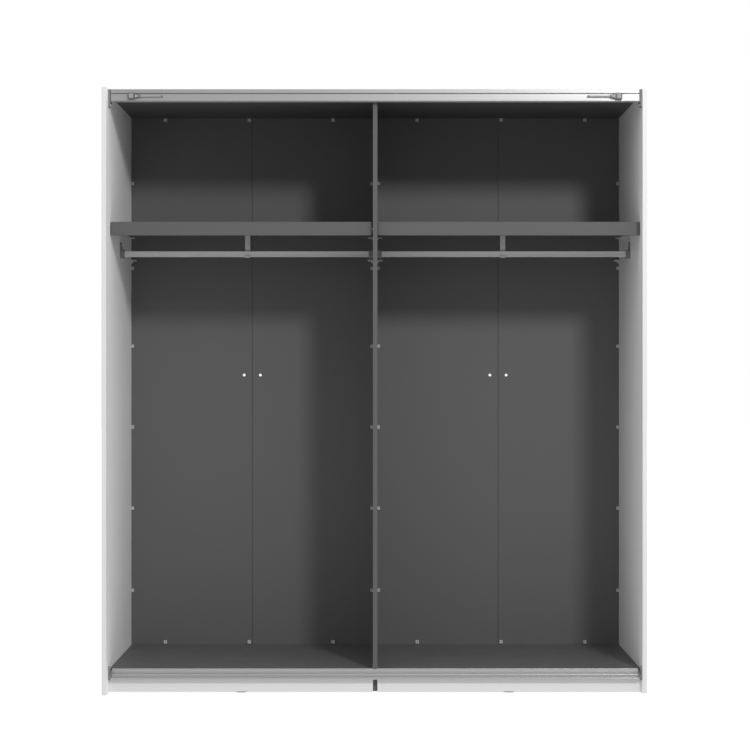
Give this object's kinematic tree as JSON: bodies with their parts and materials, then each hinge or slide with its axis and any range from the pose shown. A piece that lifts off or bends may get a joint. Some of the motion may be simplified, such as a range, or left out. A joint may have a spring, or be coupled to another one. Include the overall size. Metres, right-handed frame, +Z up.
{
  "type": "sliding door wardrobe",
  "caption": "Wardrobe carcass for sliding doors: white sides, graphite inside, partition, shelves, clothes rails, running and guide rails with dampers, on feet.",
  "frame": {"origin": "middle of the footprint's bounding box, on the floor", "axes": "+X to the viewer's right, +Y to the back, +Z up; the open front faces -Y"},
  "size_m": [1.8, 0.618, 2.004],
  "materials": {
    "white_board": "white melamine-faced chipboard, satin",
    "graphite_board": "graphite melamine-faced chipboard, fine pearl",
    "graphite_hardboard": "graphite lacquered hardboard, matt",
    "anodised_rail": "silver anodised extrusion",
    "clothes_rail_tube": "matt silver anodised tube",
    "zinc_fitting": "silver-grey lacquered die-cast",
    "damper_housing": "dark grey moulded, glass-filled",
    "damper_insert": "mid grey moulded",
    "damper_rod": "satin steel",
    "dark_fitting": "dark grey moulded",
    "clip_plastic": "light grey moulded",
    "black_plastic": "black moulded"
  },
  "bodies": {
    "carcass": {"back_panel_left_inner": "graphite_hardboard", "back_panel_left_outer": "graphite_hardboard", "back_panel_right_inner": "graphite_hardboard", "back_panel_right_outer": "graphite_hardboard", "bottom_guide_rail": "anodised_rail", "centre_partition": "graphite_board", "clothes_rail_left": "clothes_rail_tube", "clothes_rail_right": "clothes_rail_tube", "corner_bracket_left_partition": "zinc_fitting", "corner_bracket_left_side": "zinc_fitting", "corner_bracket_right_partition": "zinc_fitting", "corner_bracket_right_side": "zinc_fitting", "damper_holder_left": "damper_housing", "damper_holder_right": "damper_housing", "floor_panel_left": "graphite_board", "floor_panel_right": "graphite_board", "foot_socket_left": "dark_fitting", "foot_socket_right": "dark_fitting", "glide_partition_front": "black_plastic", "glide_partition_rear": "black_plastic", "glide_side_left_front": "black_plastic", "glide_side_left_rear": "black_plastic", "glide_side_right_front": "black_plastic", "glide_side_right_rear": "black_plastic", "guide_rail_bracket_left": "dark_fitting", "guide_rail_bracket_right": "dark_fitting", "plinth_left": "white_board", "plinth_right": "white_board", "rail_hanger_left": "zinc_fitting", "rail_hanger_right": "zinc_fitting", "rail_socket_left_partition": "dark_fitting", "rail_socket_left_side": "dark_fitting", "rail_socket_right_partition": "dark_fitting", "rail_socket_right_side": "dark_fitting", "seam_strip_left": "graphite_hardboard", "seam_strip_right": "graphite_hardboard", "shelf_board_left": "graphite_board", "shelf_board_right": "graphite_board", "shelf_fascia_left": "graphite_board", "shelf_fascia_right": "graphite_board", "shelf_support_left_partition_front": "clip_plastic", "shelf_support_left_partition_rear": "clip_plastic", "shelf_support_left_side_front": "clip_plastic", "shelf_support_left_side_rear": "clip_plastic", "shelf_support_right_partition_front": "clip_plastic", "shelf_support_right_partition_rear": "clip_plastic", "shelf_support_right_side_front": "clip_plastic", "shelf_support_right_side_rear": "clip_plastic", "side_panel_left": "white_board", "side_panel_right": "white_board", "top_panel_left": "graphite_board", "top_panel_right": "graphite_board", "top_rail_bracket_left": "dark_fitting", "top_rail_bracket_right": "dark_fitting", "top_running_rail": "anodised_rail"},
    "damper_plunger_left": {"damper_plunger_left": "damper_rod"},
    "damper_plunger_right": {"damper_plunger_right": "damper_rod"},
    "levelling_foot_left": {"levelling_foot_left": "black_plastic"},
    "levelling_foot_right": {"levelling_foot_right": "black_plastic"}
  },
  "joints": [
    {"name": "damper_left_push", "type": "slide", "parent": "carcass", "child": "damper_plunger_left", "axis": [-1, 0, 0], "range_m": [0, 0.03], "stiffness_N_per_m": 150},
    {"name": "damper_right_push", "type": "slide", "parent": "carcass", "child": "damper_plunger_right", "axis": [1, 0, 0], "range_m": [0, 0.03], "stiffness_N_per_m": 150},
    {"name": "foot_left_height", "type": "slide", "parent": "carcass", "child": "levelling_foot_left", "axis": [0, 0, 1], "range_m": [-0.012, 0]},
    {"name": "foot_right_height", "type": "slide", "parent": "carcass", "child": "levelling_foot_right", "axis": [0, 0, 1], "range_m": [-0.012, 0]}
  ]
}
